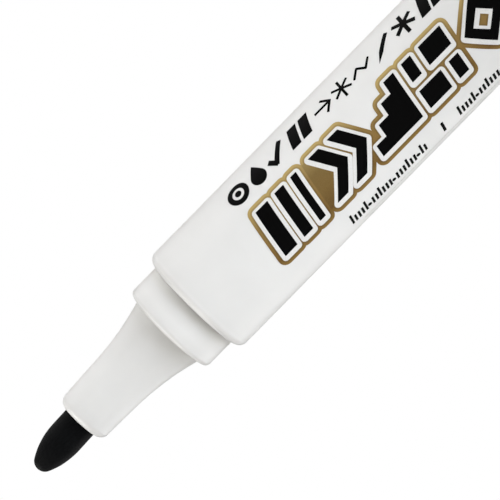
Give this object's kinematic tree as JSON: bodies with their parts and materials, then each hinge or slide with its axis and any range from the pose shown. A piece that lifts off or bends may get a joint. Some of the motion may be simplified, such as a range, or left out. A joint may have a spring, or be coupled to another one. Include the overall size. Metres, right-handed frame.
{
  "type": "whiteboard marker",
  "caption": "Bullet-nib whiteboard marker standing on its cap, which is pushed onto the tail and pulls off the post there.",
  "frame": {"origin": "centre of the cap's closed end, in the plane that the marker stands on", "axes": "+Z along the marker's axis, from the closed end of the cap towards the nib; the middle of the printed side faces -Y"},
  "size_m": [0.0175, 0.0174, 0.1589],
  "materials": {
    "barrel": "satin moulded",
    "nib_holder": "satin moulded",
    "nib": "bonded fibre, inked",
    "fibre": "bonded fibre, inked",
    "film": "thin film",
    "tail_plug": "gloss moulded",
    "cap_shell": "gloss moulded",
    "cap_liner": "natural, satin",
    "print_ink": "printed",
    "print_white": "printed",
    "print_gold": "printed metallic"
  },
  "bodies": {
    "cap": {"cap_shell": "cap_shell", "cap_liner": "cap_liner"},
    "marker": {"barrel": "barrel", "nib_holder": "nib_holder", "nib": "nib", "ink_reservoir": "fibre", "reservoir_film": "film", "tail_plug": "tail_plug"}
  },
  "joints": [
    {"name": "cap_slide", "type": "slide", "parent": "cap", "child": "marker", "axis": [0, 0, 1], "range_m": [0, 0.03]}
  ]
}
